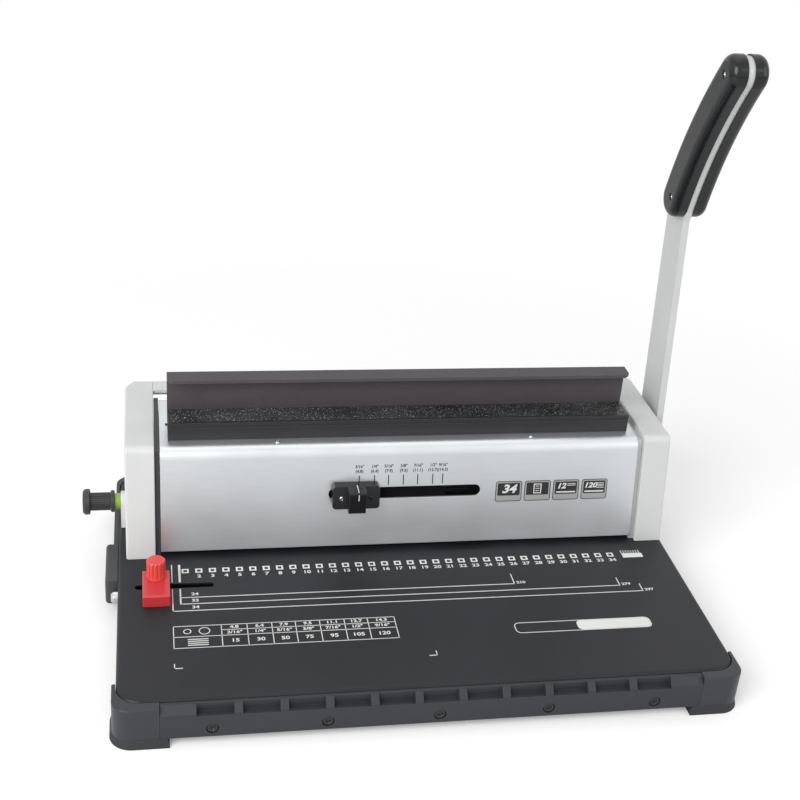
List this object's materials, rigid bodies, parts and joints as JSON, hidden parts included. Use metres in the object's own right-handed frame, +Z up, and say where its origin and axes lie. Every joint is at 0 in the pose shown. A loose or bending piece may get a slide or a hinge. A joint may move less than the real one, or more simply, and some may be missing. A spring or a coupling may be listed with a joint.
{
  "type": "wire binding machine",
  "caption": "Desk machine that punches a row of holes along stacked sheets and closes a wire spine, driven by a side lever, with size selector, edge guide, margin knob and waste tray.",
  "frame": {"origin": "middle of the base's footprint, on the table under the feet", "axes": "+X along the machine to its right, where the lever is; +Y to its rear; +Z up"},
  "size_m": [0.4024, 0.2504, 0.352],
  "materials": {
    "deck_black": "satin powder coat",
    "pan_black": "satin powder coat",
    "fascia_black": "fine grained moulding",
    "corner_grey": "fine grained moulding",
    "foot_rubber": "matte",
    "screw_black": "blackened",
    "slider_black": "blackened",
    "screw_steel": "zinc plated",
    "steel_plate": "plain steel",
    "frame_grey": "satin grey paint",
    "hard_steel": "ground tool steel",
    "cover_silver": "metallic silver",
    "cap_silver": "light silver",
    "jaw_black": "black anodised",
    "strip_black": "ribbed",
    "bar_black": "gloss black",
    "shaft_steel": "turned",
    "bush_brass": "turned",
    "handle_silver": "light grey",
    "grip_black": "gloss",
    "knob_black": "fine grained",
    "collar_green": "gloss",
    "guide_red": "gloss",
    "tray_black": "fine grained",
    "catch_silver": "polished",
    "spring_steel": "drawn wire"
  },
  "bodies": {
    "base": {"deck_tray": "deck_black", "base_pan": "pan_black", "front_fascia": "fascia_black", "fascia_screws": "screw_black", "corner_front_left": "corner_grey", "corner_front_right": "corner_grey", "corner_rear_left": "corner_grey", "corner_rear_right": "corner_grey", "rubber_feet": "foot_rubber", "tray_rails": "steel_plate", "tray_catch": "catch_silver", "die_plate": "hard_steel", "throat_spacers": "hard_steel", "stripper_plate": "hard_steel", "guide_columns": "hard_steel", "die_screws": "screw_steel", "side_frame_left": "frame_grey", "side_frame_right": "frame_grey", "frame_screws": "screw_steel", "shaft_bushes": "bush_brass", "housing_cover": "cover_silver", "end_cap_left": "cap_silver", "end_cap_right": "cap_silver", "rear_bridge": "cap_silver", "cap_screws": "screw_steel", "tie_rods": "shaft_steel", "lower_jaw": "jaw_black", "jaw_strip": "strip_black", "press_guides": "knob_black", "spring_pegs": "shaft_steel", "return_springs": "spring_steel"},
    "press": {"press_bar": "bar_black", "press_racks": "hard_steel", "rack_pegs": "shaft_steel"},
    "punch": {"punch_bar": "steel_plate", "punch_pins": "hard_steel", "pin_clamp": "steel_plate", "punch_racks": "hard_steel"},
    "handle": {"main_shaft": "shaft_steel", "shaft_clip": "spring_steel", "press_pinions": "hard_steel", "punch_pinions": "hard_steel", "handle_bar": "handle_silver", "grip_inner": "grip_black", "grip_outer": "grip_black", "grip_screws": "screw_steel", "hub_bolt": "screw_steel"},
    "selector": {"selector_knob": "knob_black", "selector_slider": "slider_black", "stop_stair": "steel_plate", "selector_screws": "screw_steel"},
    "edge_guide": {"guide_block": "guide_red", "guide_nut": "steel_plate"},
    "clamp_knob": {"guide_knob": "guide_red"},
    "margin": {"margin_rod": "shaft_steel", "margin_collar": "collar_green", "margin_knob": "knob_black", "margin_stop": "steel_plate"},
    "tray": {"waste_tray": "tray_black", "tray_pull": "tray_black"}
  },
  "joints": [
    {"name": "handle_turn", "type": "hinge", "parent": "base", "child": "handle", "pos_m": [0, 0.084, 0.066], "axis": [1, 0, 0], "range_deg": [0, 90], "stiffness_Nm_per_rad": 0.5, "springref_deg": -34.38},
    {"name": "punch_drive", "type": "slide", "parent": "base", "child": "punch", "axis": [0, 0, -1], "range_m": [0, 0.0142]},
    {"name": "press_drive", "type": "slide", "parent": "base", "child": "press", "axis": [0, 0, -1], "range_m": [0, 0.0181], "deforming": ["return_springs"]},
    {"name": "selector_slide", "type": "slide", "parent": "base", "child": "selector", "axis": [1, 0, 0], "range_m": [0, 0.0548]},
    {"name": "guide_slide", "type": "slide", "parent": "base", "child": "edge_guide", "axis": [1, 0, 0], "range_m": [-0.008, 0.03]},
    {"name": "guide_clamp", "type": "hinge", "parent": "edge_guide", "child": "clamp_knob", "pos_m": [-0.1578, -0.0103, 0.03], "axis": [0, 0, 1], "range_deg": [0, 270]},
    {"name": "margin_turn", "type": "hinge", "parent": "base", "child": "margin", "pos_m": [0, 0.063, 0.044], "axis": [1, 0, 0], "range_deg": [-4, 4]},
    {"name": "tray_slide", "type": "slide", "parent": "base", "child": "tray", "axis": [-1, 0, 0], "range_m": [0, 0.25]}
  ],
  "couplings": [
    {"joint": "punch_drive", "follows": "handle_turn", "m_per_rad": 0.009},
    {"joint": "press_drive", "follows": "handle_turn", "m_per_rad": 0.0115}
  ]
}
